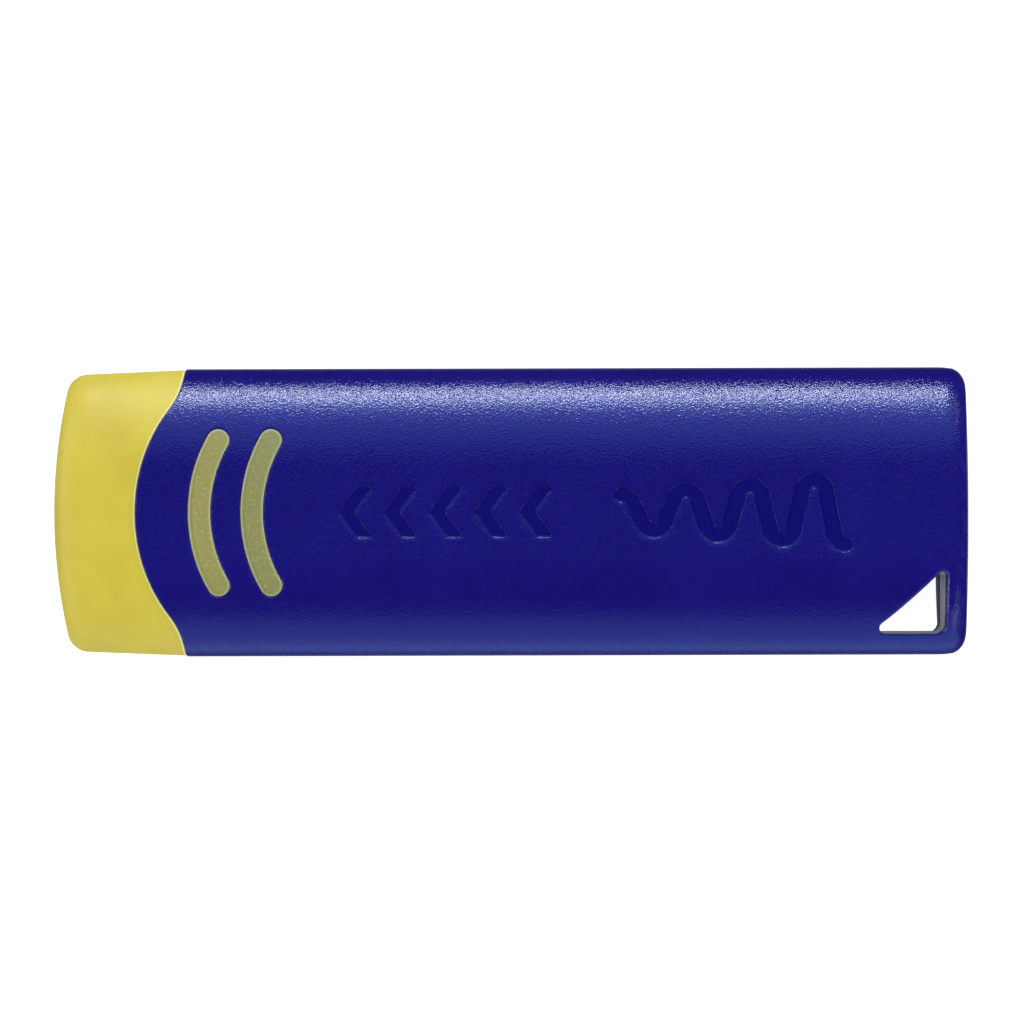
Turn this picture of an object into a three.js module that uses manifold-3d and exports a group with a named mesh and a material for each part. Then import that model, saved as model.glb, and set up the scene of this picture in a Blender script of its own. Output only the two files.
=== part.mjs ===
// Pocket eraser: a yellow rubber tip in a blue two-part plastic case with a lanyard hole.
//
// Millimetres, +Z up. The eraser lies on its back face: X runs along its length with the rubber tip at -X,
// Y runs across its width, and the origin is under the middle of the case, on the surface it lies on.
// Pieces: front_shell and back_shell (blue ABS, welded together round the edge), eraser (one rubber moulding:
// tip, neck and an arc pad in each window of the case) and eraser_core (a stiff plate inside the rubber).
import * as THREE from "three";
import { mergeVertices } from "three/addons/utils/BufferGeometryUtils.js";
import Module from "manifold-3d";

const wasm = await Module();
wasm.setup();

// ---- Driving dimensions ----

const LENGTH = 63.5; // tip to tail
const WIDTH = 20;
const THICKNESS = 12;

// Cross-section: a flat land down the middle of each face, then shoulders that round over to the sides.
const LAND_WIDTH = 6;
const SHOULDER_POWER = 2.15; // 2 is an ellipse, more is squarer

// Tail end of the case.
const TAIL_CROWN = 209; // radius of the end face, seen on the face of the case
const TAIL_BULGE = 32; // radius of the end face, seen from the side
const TAIL_CORNER = 1.25; // edge radius where the end meets the sides
const TAIL_EDGE = 1.15; // edge radius where the end meets the faces
const LEAST_EDGE = 0.3; // edge radius of the hollow inside, where the wall takes up the outer one

// Rubber tip.
const TIP_STEP = 0.06; // how far the rubber lies below the case at the seam
const TIP_TAPER = 0.041; // narrowing of each side per millimetre towards the end
const TIP_CROWN = 37.5;
const TIP_BULGE = 17;
const TIP_CORNER = 1;
const TIP_EDGE = 1.2;

// Seam between the case and the tip: a round nose in the middle that flares back towards the sides.
const SEAM_FROM_TIP = 5.97; // from the tip's end to the nose of the case
const SEAM_NOSE = 12.3;
const SEAM_FLARE = 4.75;
const SEAM_GAP = 0.12;

// Arc windows through both faces, and the rubber pads in them.
const WINDOW_FROM_NOSE = 4.38; // from the nose of the case to the first window's middle line
const WINDOW_PITCH = 3.61;
const WINDOW_COUNT = 2;
const WINDOW_RADIUS = 10.2;
const WINDOW_HALF_SPAN = 5; // across the case, to the centres of the round ends
const WINDOW_WIDTH = 1.6;
const PAD_CLEARANCE = 0.1;
const PAD_RECESS = 0.12;

// Case walls.
const WALL = 1.4;
const PARTING_GAP = 0.1;
const LIP_HEIGHT = 0.8;
const LIP_INSET = 0.75; // from the outside of the case to the outside of the lip
const LIP_CLEARANCE = 0.1;

// Lanyard hole: a right triangle in the tail corner.
const EYE_TAIL_MARGIN = 1.79; // from the end of the case to the hole's upright side
const EYE_SIDE_MARGIN = 1.49; // from the side of the case to the hole's long side
const EYE_LENGTH = 5.31;
const EYE_HEIGHT = 4.73;
const EYE_CORNERS = { tail: 0.72, top: 0.3, nose: 0.44 };
const EYE_WALL = 1;

// Rubber neck and its stiff core.
const NECK_CLEARANCE = 0.15;
const NECK_PAST_WINDOWS = 3.5; // from the last window's middle line to the end of the neck
const CORE_THICKNESS = 3;
const CORE_WIDTH = 10.4;
const CORE_BEHIND_NOSE = 1.2; // from the nose of the case to the core's front end
const CORE_TAIL = 6.2; // length of core behind the neck
const CORE_CORNER = 1.2;
const CORE_CLEARANCE = 0.08;
const KEY_COUNT = 3;
const KEY_PITCH = 3.2;
const KEY_RADIUS = 0.9; // rubber keys that run through the core
const KEY_ROOT = 1.62; // how far a key runs on into the neck, past the core's clearance

// Pins on the front shell, and sockets for them in the back shell.
const PIN_RADIUS = 0.9;
const PIN_CLEARANCE = 0.1;
const PIN_DEPTH = 1.8; // how far a pin reaches into its socket
const BOSS_RADIUS = 1.7;
const BOSS_GAP = 0.1;
const CORE_PIN_FROM_NECK = 3.4;
const CORE_PIN_SPREAD = 3.1; // of the two pins through the core, either side of the middle
const TAIL_PIN_FROM_END = 12.5;
const TAIL_PIN_SPREAD = 5;

// Stiffening ribs.
const RIB = 0.8;
const STOP_GAP = 0.2; // between the neck's end and the stop rib behind it
const CROSS_RIBS = 3;
const SPINE_DEPTH = 2.4; // how far the lengthwise rib stands off the inside of a face

// Sunk marks on the front face: chevrons that point at the tip, then a scribble line.
const MARK_DEPTH = 0.22;
const CHEVRON_COUNT = 5;
const CHEVRON_PITCH = 3.1;
const CHEVRON_HALF_HEIGHT = 1.75;
const CHEVRON_REACH = 1.3; // how far the point leads the ends
const CHEVRON_BAR = 1.15;
const CHEVRON_START = -11.9;
const SCRIBBLE_START = 7.6;
const SCRIBBLE_TURNS = 8;
const SCRIBBLE_PITCH = 2.2; // from turn to turn, along the case
const SCRIBBLE_TURN = 0.8; // radius of the stroke's middle line in each turn
const SCRIBBLE_REACH = { first: 0.35, last: 1.5 }; // from the middle of the case to a turn's centre
const SCRIBBLE_BAR = 1.05;

// Facets.
const QUARTER_STEPS = 11; // along each shoulder
const EDGE_STEPS = 4; // round an end's edge
const END_FACE_RINGS = [0.6, 0.25]; // rings on an end face, as shares of its outline
const CURVE_STEPS = 10;
const MARK_STEPS = 4;
const POST_SIDES = 16;

// ---- Places that follow from them ----

const TAIL_X = LENGTH / 2;
const TIP_X = -LENGTH / 2;
const NOSE_X = TIP_X + SEAM_FROM_TIP;
const FIRST_WINDOW_X = NOSE_X + WINDOW_FROM_NOSE;
const LAST_WINDOW_X = FIRST_WINDOW_X + (WINDOW_COUNT - 1) * WINDOW_PITCH;
const NECK_END_X = LAST_WINDOW_X + NECK_PAST_WINDOWS;
const CORE_START_X = NOSE_X + CORE_BEHIND_NOSE;
const CORE_END_X = NECK_END_X + CORE_TAIL;
const CORE_PIN_X = NECK_END_X + CORE_PIN_FROM_NECK;
const TAIL_PIN_X = TAIL_X - TAIL_PIN_FROM_END;
const STOP_RIB_X = NECK_END_X + STOP_GAP + RIB / 2;
const KEY_X = (FIRST_WINDOW_X + LAST_WINDOW_X) / 2;
const HALF_GAP = PARTING_GAP / 2;
const BEYOND = 5; // how far a cutting tool runs past what it cuts

// ---- Solids from three.js geometry ----

function solid(geometry) {
  const bare = geometry.index ? geometry.toNonIndexed() : geometry;
  const points = new THREE.BufferGeometry().setAttribute("position", bare.getAttribute("position"));
  const merged = mergeVertices(points, 1e-4);
  const vertProperties = merged.attributes.position.array;
  const triVerts = new Uint32Array(merged.index.array);
  return new wasm.Manifold(new wasm.Mesh({ numProp: 3, vertProperties, triVerts }));
}

function meshOf(name, shape, material) {
  const { numProp, vertProperties, triVerts } = shape.getMesh();
  if (numProp !== 3) throw new Error(`${name}: expected bare positions`);
  const geometry = new THREE.BufferGeometry();
  geometry.setAttribute("position", new THREE.BufferAttribute(vertProperties, 3));
  geometry.setIndex(new THREE.BufferAttribute(triVerts, 1));
  geometry.computeVertexNormals();
  const mesh = new THREE.Mesh(geometry, material);
  mesh.name = name;
  return mesh;
}

function block(x0, x1, y0, y1, z0, z1) {
  const geometry = new THREE.BoxGeometry(x1 - x0, y1 - y0, z1 - z0);
  return solid(geometry.translate((x0 + x1) / 2, (y0 + y1) / 2, (z0 + z1) / 2));
}

function post(x, y, z0, z1, radius) {
  const geometry = new THREE.CylinderGeometry(radius, radius, z1 - z0, POST_SIDES);
  return solid(geometry.rotateX(Math.PI / 2).translate(x, y, (z0 + z1) / 2));
}

// A flat outline carried straight up from z0 to z1.
function prism(outline, z0 = -THICKNESS, z1 = THICKNESS, curveSegments = CURVE_STEPS) {
  const options = { depth: z1 - z0, bevelEnabled: false, curveSegments };
  return solid(new THREE.ExtrudeGeometry(outline, options).translate(0, 0, z0));
}

// Everything within a band of heights.
function slab(z0, z1) {
  return block(-LENGTH, LENGTH, -WIDTH, WIDTH, z0, z1);
}

// A skin over rings of equal length that follow each other from the point x0 to the point x1 on the X axis.
function loft(x0, rings, x1) {
  const count = rings[0].length;
  const points = [new THREE.Vector3(x0, 0, 0), ...rings.flat(), new THREE.Vector3(x1, 0, 0)];
  const at = (ring, j) => 1 + ring * count + (j % count);
  const index = [];
  for (let j = 0; j < count; j++) {
    index.push(0, at(0, j + 1), at(0, j));
    index.push(points.length - 1, at(rings.length - 1, j), at(rings.length - 1, j + 1));
    for (let ring = 0; ring < rings.length - 1; ring++) {
      index.push(at(ring, j), at(ring, j + 1), at(ring + 1, j + 1));
      index.push(at(ring, j), at(ring + 1, j + 1), at(ring + 1, j));
    }
  }
  const geometry = new THREE.BufferGeometry().setFromPoints(points);
  return solid(geometry.setIndex(index));
}

// ---- The outer form, taken in by an inset ----

// Points round the cross-section from +Y over +Z, with the outward direction at each.
function sectionPoints(halfWidth, halfThickness) {
  const land = LAND_WIDTH / 2;
  const power = 2 / SHOULDER_POWER;
  const quarter = [];
  for (let i = 0; i <= QUARTER_STEPS; i++) {
    const angle = (i / QUARTER_STEPS) * (Math.PI / 2);
    const y = land + (halfWidth - land) * Math.max(Math.cos(angle), 0) ** power;
    quarter.push([i === QUARTER_STEPS ? land : y, halfThickness * Math.sin(angle) ** power]);
  }
  const left = quarter.map(([y, z]) => [-y, z]).reverse();
  const upper = [...quarter, ...left];
  const lower = upper.slice(1, -1).map(([y, z]) => [-y, -z]);
  const loop = [...upper, ...lower];
  return loop.map(([y, z], i) => {
    const [y0, z0] = loop.at(i - 1);
    const [y1, z1] = loop[(i + 1) % loop.length];
    const length = Math.hypot(y1 - y0, z1 - z0);
    return { y, z, ny: (z1 - z0) / length, nz: (y0 - y1) / length };
  });
}

// Rings that round a section over into an end face; endAt(y, z) is the end face's x, and side is +1 or -1.
function endRings(section, endAt, side, corner, edge) {
  const rings = [];
  for (let i = 0; i <= EDGE_STEPS; i++) {
    const angle = (i / EDGE_STEPS) * (Math.PI / 2);
    rings.push(section.map(({ y, z, ny, nz }) => {
      const radius = THREE.MathUtils.lerp(edge, corner, ny * ny);
      const inwards = radius * (1 - Math.cos(angle));
      const [py, pz] = [y - ny * inwards, z - nz * inwards];
      return new THREE.Vector3(endAt(py, pz) - side * radius * (1 - Math.sin(angle)), py, pz);
    }));
  }
  for (const share of END_FACE_RINGS) {
    rings.push(rings[EDGE_STEPS].map(({ y, z }) => {
      return new THREE.Vector3(endAt(y * share, z * share), y * share, z * share);
    }));
  }
  return rings;
}

// The case's outer form taken in all over by inset, from x0 to its tail end.
function caseForm(inset, x0) {
  const section = sectionPoints(WIDTH / 2 - inset, THICKNESS / 2 - inset);
  const endAt = (y, z) => TAIL_X - inset - y ** 2 / (2 * TAIL_CROWN) - z ** 2 / (2 * TAIL_BULGE);
  const start = section.map(({ y, z }) => new THREE.Vector3(x0, y, z));
  const corner = Math.max(TAIL_CORNER - inset, LEAST_EDGE);
  const edge = Math.max(TAIL_EDGE - inset, LEAST_EDGE);
  return loft(x0, [start, ...endRings(section, endAt, 1, corner, edge)], endAt(0, 0));
}

// The rubber tip's outer form, from its end to x1.
function tipForm(x1) {
  const halfWidth = WIDTH / 2 - TIP_STEP;
  const halfThickness = THICKNESS / 2 - TIP_STEP;
  const sectionAt = (x) => {
    const narrower = TIP_TAPER * (sideSeamX() - x);
    return sectionPoints(halfWidth - narrower, halfThickness - narrower);
  };
  const endAt = (y, z) => TIP_X + y ** 2 / (2 * TIP_CROWN) + z ** 2 / (2 * TIP_BULGE);
  const end = endRings(sectionAt(TIP_X + TIP_CORNER), endAt, -1, TIP_CORNER, TIP_EDGE).reverse();
  const root = sectionAt(x1).map(({ y, z }) => new THREE.Vector3(x1, y, z));
  return loft(endAt(0, 0), [...end, root], x1);
}

// ---- Flat outlines ----

// Where the seam meets the sides of the case.
function sideSeamX() {
  const reach = Math.sqrt((SEAM_NOSE + SEAM_FLARE) ** 2 - (WIDTH / 2) ** 2);
  return NOSE_X + SEAM_NOSE - reach + SEAM_FLARE;
}

// The plan to the tail side of the seam, with the seam moved towards the tip by shift.
function behindSeam(shift) {
  const centreX = NOSE_X + SEAM_NOSE;
  const lean = Math.asin(WIDTH / 2 / (SEAM_NOSE + SEAM_FLARE));
  const flareX = sideSeamX() - SEAM_FLARE;
  const outline = new THREE.Shape();
  outline.moveTo(LENGTH, -WIDTH);
  outline.lineTo(LENGTH, WIDTH);
  outline.lineTo(flareX + SEAM_FLARE - shift, WIDTH);
  outline.absarc(flareX, WIDTH / 2, SEAM_FLARE - shift, 0, -lean, true);
  outline.absarc(centreX, 0, SEAM_NOSE + shift, Math.PI - lean, Math.PI + lean, false);
  outline.absarc(flareX, -WIDTH / 2, SEAM_FLARE - shift, lean, 0, true);
  outline.lineTo(flareX + SEAM_FLARE - shift, -WIDTH);
  return outline;
}

// An arc band with round ends whose middle line crosses the centre line at x, slimmer all round by inset.
function arcBand(x, inset) {
  const half = WINDOW_WIDTH / 2 - inset;
  const swing = Math.asin(WINDOW_HALF_SPAN / WINDOW_RADIUS);
  const centreX = x + WINDOW_RADIUS;
  const endX = centreX - WINDOW_RADIUS * Math.cos(swing);
  const outline = new THREE.Shape();
  outline.absarc(centreX, 0, WINDOW_RADIUS + half, Math.PI - swing, Math.PI + swing, false);
  outline.absarc(endX, -WINDOW_HALF_SPAN, half, Math.PI + swing, 2 * Math.PI + swing, false);
  outline.absarc(centreX, 0, WINDOW_RADIUS - half, Math.PI + swing, Math.PI - swing, true);
  outline.absarc(endX, WINDOW_HALF_SPAN, half, -swing, Math.PI - swing, false);
  return outline;
}

// A convex outline through corners listed anticlockwise as [x, y, radius], each rounded by an arc.
function roundedOutline(corners) {
  const outline = new THREE.Shape();
  corners.forEach(([x, y, radius], i) => {
    const here = new THREE.Vector2(x, y);
    const back = new THREE.Vector2(...corners.at(i - 1)).sub(here).normalize();
    const on = new THREE.Vector2(...corners[(i + 1) % corners.length]).sub(here).normalize();
    const half = Math.acos(back.dot(on)) / 2;
    const centre = back.clone().add(on).normalize().multiplyScalar(radius / Math.sin(half)).add(here);
    const from = back.multiplyScalar(radius / Math.tan(half)).add(here).sub(centre).angle();
    outline.absarc(centre.x, centre.y, radius, from, from + Math.PI - 2 * half, false);
  });
  return outline;
}

// The lanyard hole's outline, grown all round by grow.
function eyeOutline(grow) {
  const x1 = TAIL_X - EYE_TAIL_MARGIN;
  const y0 = -WIDTH / 2 + EYE_SIDE_MARGIN;
  const slope = Math.hypot(EYE_LENGTH, EYE_HEIGHT);
  const topGrow = (grow * (slope + EYE_LENGTH)) / EYE_HEIGHT;
  const noseGrow = (grow * (slope + EYE_HEIGHT)) / EYE_LENGTH;
  const stretchY = (topGrow * EYE_HEIGHT) / EYE_LENGTH;
  const stretchX = (noseGrow * EYE_LENGTH) / EYE_HEIGHT;
  return roundedOutline([
    [x1 + grow, y0 - grow, EYE_CORNERS.tail + grow],
    [x1 + grow, y0 + EYE_HEIGHT + stretchY, EYE_CORNERS.top + grow],
    [x1 - EYE_LENGTH - stretchX, y0 - grow, EYE_CORNERS.nose + grow],
  ]);
}

// A chevron whose point, towards the tip, is at x.
function chevronOutline(x) {
  const outline = new THREE.Shape();
  outline.moveTo(x, 0);
  outline.lineTo(x + CHEVRON_REACH, -CHEVRON_HALF_HEIGHT);
  outline.lineTo(x + CHEVRON_REACH + CHEVRON_BAR, -CHEVRON_HALF_HEIGHT);
  outline.lineTo(x + CHEVRON_BAR, 0);
  outline.lineTo(x + CHEVRON_REACH + CHEVRON_BAR, CHEVRON_HALF_HEIGHT);
  outline.lineTo(x + CHEVRON_REACH, CHEVRON_HALF_HEIGHT);
  return outline;
}

// A scribbled stroke of even width with round ends. It goes clockwise over turns above the middle and back
// under turns below it, and between two turns it follows the line that touches both circles.
function scribbleOutline() {
  const half = SCRIBBLE_BAR / 2;
  const turns = Array.from({ length: SCRIBBLE_TURNS }, (_, i) => {
    const share = i / (SCRIBBLE_TURNS - 1);
    const side = i % 2 ? -1 : 1;
    const reach = THREE.MathUtils.lerp(SCRIBBLE_REACH.first, SCRIBBLE_REACH.last, share);
    return { x: SCRIBBLE_START + i * SCRIBBLE_PITCH, y: side * reach, side };
  });
  const headings = turns.slice(1).map((to, i) => {
    const from = turns[i];
    const apart = Math.hypot(to.x - from.x, to.y - from.y);
    const slant = Math.asin((2 * SCRIBBLE_TURN) / apart);
    return Math.atan2(to.y - from.y, to.x - from.x) - from.side * slant;
  });
  const rightAngle = Math.PI / 2;
  const arcs = turns.map(({ x, y, side }, i) => {
    const from = i === 0 ? side * rightAngle : headings[i - 1] + side * rightAngle;
    const to = i === turns.length - 1 ? side * rightAngle : headings[i] + side * rightAngle;
    return { x, y, side, from, to };
  });
  const cap = ({ x, y, side }, from) => [x, y + side * SCRIBBLE_TURN, half, from, from - Math.PI, true];
  const outline = new THREE.Shape();
  for (const { x, y, side, from, to } of arcs) {
    outline.absarc(x, y, SCRIBBLE_TURN + side * half, from, to, side > 0);
  }
  outline.absarc(...cap(arcs.at(-1), rightAngle));
  for (const { x, y, side, from, to } of arcs.toReversed()) {
    outline.absarc(x, y, SCRIBBLE_TURN - side * half, to, from, side < 0);
  }
  outline.absarc(...cap(arcs[0], -rightAngle));
  return outline;
}

// ---- Case ----

const windowXs = Array.from({ length: WINDOW_COUNT }, (_, i) => FIRST_WINDOW_X + i * WINDOW_PITCH);

// Two pins at x, spread to each side of the middle; their bosses stop short of the parting plane by rest.
function pinPair(x, spread, rest) {
  return [-1, 1].map((side) => ({ x, y: side * spread, rest }));
}

const pinPlaces = [
  ...pinPair(CORE_PIN_X, CORE_PIN_SPREAD, CORE_THICKNESS / 2),
  ...pinPair(TAIL_PIN_X, TAIL_PIN_SPREAD, 0),
];

function crossRib(x, z0, z1) {
  return block(x - RIB / 2, x + RIB / 2, -WIDTH / 2, WIDTH / 2, z0, z1);
}

// Ribs and the lanyard hole's walls inside one shell; side is +1 for the front shell and -1 for the back.
function innerWork(side) {
  const reach = (from, to) => (side > 0 ? [from, to] : [-to, -from]);
  const top = THICKNESS / 2;
  const coreClear = CORE_THICKNESS / 2 + CORE_CLEARANCE;
  const pieces = [prism(eyeOutline(EYE_WALL), ...reach(HALF_GAP, top))];
  pieces.push(crossRib(STOP_RIB_X, ...reach(coreClear, top)));
  const spineStart = CORE_END_X + CORE_CLEARANCE;
  const spineEnd = TAIL_PIN_X;
  const spineFoot = THICKNESS / 2 - WALL - SPINE_DEPTH;
  pieces.push(block(spineStart, TAIL_X - WALL, -RIB / 2, RIB / 2, ...reach(spineFoot, top)));
  for (let i = 0; i < CROSS_RIBS; i++) {
    const x = THREE.MathUtils.lerp(spineStart, spineEnd, (i + 0.5) / CROSS_RIBS);
    pieces.push(crossRib(x, ...reach(spineFoot, top)));
  }
  for (const { x, y, rest } of pinPlaces) {
    pieces.push(post(x, y, ...reach(rest + BOSS_GAP, top), BOSS_RADIUS));
  }
  return wasm.Manifold.union(pieces);
}

// The case wall and its inner work on one side of the parting plane, before the openings are cut.
function halfCase(side) {
  const start = NOSE_X - BEYOND;
  const [z0, z1] = side > 0 ? [HALF_GAP, THICKNESS] : [-THICKNESS, -HALF_GAP];
  const outer = caseForm(0, start);
  const within = caseForm(WALL / 2, start);
  const wall = outer.subtract(caseForm(WALL, start - BEYOND));
  return { wall: wall.intersect(slab(z0, z1)), work: innerWork(side).intersect(within) };
}

function cutOpenings(shell) {
  const tools = [prism(eyeOutline(0)), ...windowXs.map((x) => prism(arcBand(x, 0)))];
  return shell.intersect(prism(behindSeam(0))).subtract(wasm.Manifold.union(tools));
}

function frontShell() {
  const { wall, work } = halfCase(1);
  const start = NOSE_X - BEYOND;
  const ring = caseForm(LIP_INSET, start).subtract(caseForm(WALL, start - BEYOND));
  const lip = ring.intersect(slab(HALF_GAP - LIP_HEIGHT, WALL));
  const eyeRoom = prism(eyeOutline(EYE_WALL + LIP_CLEARANCE), -THICKNESS, HALF_GAP);
  const pins = pinPlaces.map(({ x, y, rest }) => {
    return post(x, y, -rest - PIN_DEPTH, THICKNESS / 2 - WALL / 2, PIN_RADIUS);
  });
  const markOutlines = [scribbleOutline()];
  for (let i = 0; i < CHEVRON_COUNT; i++) {
    markOutlines.push(chevronOutline(CHEVRON_START + i * CHEVRON_PITCH));
  }
  const floor = THICKNESS / 2 - MARK_DEPTH;
  const marks = markOutlines.map((outline) => prism(outline, floor, THICKNESS, MARK_STEPS));
  const joined = wasm.Manifold.union([wall, work, lip.subtract(eyeRoom), ...pins]);
  return cutOpenings(joined).subtract(wasm.Manifold.union(marks));
}

function backShell() {
  const { wall, work } = halfCase(-1);
  const roomOutside = caseForm(LIP_INSET - LIP_CLEARANCE, NOSE_X - 2 * BEYOND);
  const roomHeight = slab(HALF_GAP - LIP_HEIGHT - LIP_CLEARANCE, THICKNESS);
  const grooved = wall.subtract(roomOutside.intersect(roomHeight));
  const lipRoom = roomOutside
    .subtract(caseForm(WALL + LIP_CLEARANCE, NOSE_X - 3 * BEYOND))
    .intersect(roomHeight)
    .subtract(prism(eyeOutline(EYE_WALL)));
  const sockets = pinPlaces.map(({ x, y, rest }) => {
    const depth = rest + PIN_DEPTH + PIN_CLEARANCE;
    return post(x, y, -depth, THICKNESS, PIN_RADIUS + PIN_CLEARANCE);
  });
  return cutOpenings(grooved.add(work.subtract(lipRoom)).subtract(wasm.Manifold.union(sockets)));
}

// ---- Rubber and core ----

function coreOutline(grow) {
  const [x0, x1] = [CORE_START_X - grow, CORE_END_X + grow];
  const half = CORE_WIDTH / 2 + grow;
  const radius = CORE_CORNER + grow;
  return roundedOutline([[x1, half, radius], [x0, half, radius], [x0, -half, radius], [x1, -half, radius]]);
}

function keyPosts(grow) {
  const reach = CORE_THICKNESS / 2 + CORE_CLEARANCE + KEY_ROOT;
  return Array.from({ length: KEY_COUNT }, (_, i) => {
    const y = (i - (KEY_COUNT - 1) / 2) * KEY_PITCH;
    return post(KEY_X, y, -reach, reach, KEY_RADIUS + grow);
  });
}

function eraserCore() {
  const plate = prism(coreOutline(0), -CORE_THICKNESS / 2, CORE_THICKNESS / 2);
  const pinHoles = pinPair(CORE_PIN_X, CORE_PIN_SPREAD, 0).map(({ x, y }) => {
    return post(x, y, -THICKNESS, THICKNESS, PIN_RADIUS + PIN_CLEARANCE);
  });
  return plate.subtract(wasm.Manifold.union([...keyPosts(CORE_CLEARANCE), ...pinHoles]));
}

function eraser() {
  const neckStart = TIP_X + 2 * TIP_CORNER;
  const tip = tipForm(sideSeamX() + BEYOND).subtract(prism(behindSeam(SEAM_GAP)));
  const neck = caseForm(WALL + NECK_CLEARANCE, neckStart)
    .intersect(block(neckStart, NECK_END_X, -WIDTH, WIDTH, -THICKNESS, THICKNESS));
  const pads = windowXs.map((x) => prism(arcBand(x, PAD_CLEARANCE)).intersect(caseForm(PAD_RECESS, NOSE_X)));
  const half = CORE_THICKNESS / 2 + CORE_CLEARANCE;
  const pocket = prism(coreOutline(CORE_CLEARANCE), -half, half);
  const body = wasm.Manifold.union([tip, neck, ...pads]).subtract(pocket);
  return wasm.Manifold.union([body, ...keyPosts(0)]);
}

// ---- Assembly ----

const caseBlue = new THREE.MeshStandardMaterial({ color: 0x1c1a86, roughness: 0.42, metalness: 0 });
const rubberYellow = new THREE.MeshStandardMaterial({ color: 0xd6c448, roughness: 0.55, metalness: 0 });
const coreBlue = new THREE.MeshStandardMaterial({ color: 0x24307a, roughness: 0.5, metalness: 0 });

const assembly = new THREE.Group();
assembly.position.z = THICKNESS / 2;
assembly.add(
  meshOf("front_shell", frontShell(), caseBlue),
  meshOf("back_shell", backShell(), caseBlue),
  meshOf("eraser", eraser(), rubberYellow),
  meshOf("eraser_core", eraserCore(), coreBlue),
);

export default assembly;
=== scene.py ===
import math

import bpy
import numpy as np
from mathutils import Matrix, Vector, geometry


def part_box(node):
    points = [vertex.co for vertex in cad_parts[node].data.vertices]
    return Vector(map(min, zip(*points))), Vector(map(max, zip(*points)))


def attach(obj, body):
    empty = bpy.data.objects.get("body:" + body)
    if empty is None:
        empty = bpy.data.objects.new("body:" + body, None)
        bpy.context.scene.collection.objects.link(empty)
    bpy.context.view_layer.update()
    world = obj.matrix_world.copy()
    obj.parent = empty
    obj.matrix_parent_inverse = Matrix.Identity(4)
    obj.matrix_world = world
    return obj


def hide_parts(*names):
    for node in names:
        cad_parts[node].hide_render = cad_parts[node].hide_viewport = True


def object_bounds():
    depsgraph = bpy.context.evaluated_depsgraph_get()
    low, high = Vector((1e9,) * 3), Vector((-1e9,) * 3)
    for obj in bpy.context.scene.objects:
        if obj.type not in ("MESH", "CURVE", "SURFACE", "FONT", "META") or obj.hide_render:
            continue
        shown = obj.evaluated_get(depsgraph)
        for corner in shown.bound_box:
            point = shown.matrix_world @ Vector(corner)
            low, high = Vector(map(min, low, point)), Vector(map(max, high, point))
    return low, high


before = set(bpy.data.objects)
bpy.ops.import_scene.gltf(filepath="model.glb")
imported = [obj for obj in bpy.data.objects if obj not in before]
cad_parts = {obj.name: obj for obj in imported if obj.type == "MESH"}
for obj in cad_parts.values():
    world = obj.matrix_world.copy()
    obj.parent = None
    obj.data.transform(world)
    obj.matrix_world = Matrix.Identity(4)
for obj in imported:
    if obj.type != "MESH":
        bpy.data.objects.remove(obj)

# Looks for a flat pocket eraser: a grained blue case in two shells round a translucent yellow rubber.
# Sizes are in millimetres and angles in degrees. Meshes are written in metres at the very end.
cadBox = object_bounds()
mm = 0.001


# the low and high corners of a CAD node's box, in millimetres
def nodeSpan(node):
    low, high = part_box(node)
    return np.array(low) / mm, np.array(high) / mm


shellLow, shellHigh = nodeSpan("front_shell")
rubberLow, rubberHigh = nodeSpan("eraser")
noseX = shellLow[0]
tailX = shellHigh[0]
tipX = rubberLow[0]
neckEndX = rubberHigh[0]
halfWide = (cadBox[1][1] - cadBox[0][1]) / mm / 2
halfThick = (cadBox[1][2] - cadBox[0][2]) / mm / 2
middleZ = halfThick

# across the eraser: the flat land, and the power of the curve at each side of it
section = {"land": 6.0, "power": 2.15, "steps": 400}

# the end face at the lanyard hole: its crown across and bulge up and down, and its edge's radius at the
# sides (corner) and over the faces (edge)
tail = {"crown": 209.0, "bulge": 32.0, "corner": 1.25, "edge": 1.15, "levels": (0.8, 0.6, 0.4, 0.2, 0.1)}

# the seam between rubber and case: the radii of the nose in the middle and of the flares at the sides
seam = {"nose": 12.3, "flare": 4.75, "round": 0.08, "lastRing": 3.2}

# the arc windows that the pads stand in
windows = {
    "firstFromNose": 4.38,
    "pitch": 3.61,
    "count": 2,
    "radius": 10.2,
    "halfSpan": 5.0,
    "wide": 1.6,
    "round": 0.1,
    "lastRing": 3.5,
}

# the shells: wall and parting line, then how finely they are meshed, then how far the rims are painted
# paler, a painted highlight, and how pale it is on the tail's edge
case = {
    "wall": 1.4,
    "partingGap": 0.02,
    "partingRound": 0.06,
    "partingRings": 4,
    "partingBand": 0.12,
    "cavityFromTail": 7.6,
    "grid": 0.42,
    "inset": 0.2,
    "clearance": 0.3,
    "sideMargins": (0.8, 0.5),
    "innerGrid": 1.1,
    "innerInset": 0.4,
    "innerClearance": 0.5,
    "innerColumns": 46,
    "edgeStep": 0.14,
    "eyeStep": 0.7,
    "ringCount": 5,
    "seamColumns": 250,
    "tailColumns": 80,
    "sheenReach": 0.12,
    "tailSheen": 0.5,
}

# The lanyard hole. Each row of its wall is (share of the way up from the parting line, how far it is
# drawn in, how rough): 0.5 is plain, and 0 is smooth and painted pale, a painted reflection.
eye = {
    "fromTail": 1.79,
    "fromSide": 1.49,
    "long": 5.31,
    "high": 4.73,
    "tailCorner": 0.72,
    "topCorner": 0.3,
    "noseCorner": 0.44,
    "chamfer": 0.14,
    "chamferLean": 43,
    "rings": (0.15, 0.85, 1, 1.15, 2, 3.5),
    "wall": [
        (0.96, 0, 0.5),
        (0.73, 0.01, 0.5),
        (0.67, 0.03, 0),
        (0.13, 0.15, 0),
        (0.04, 0.15, 0.5),
        (0, 0.13, 0.5),
    ],
}

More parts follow.
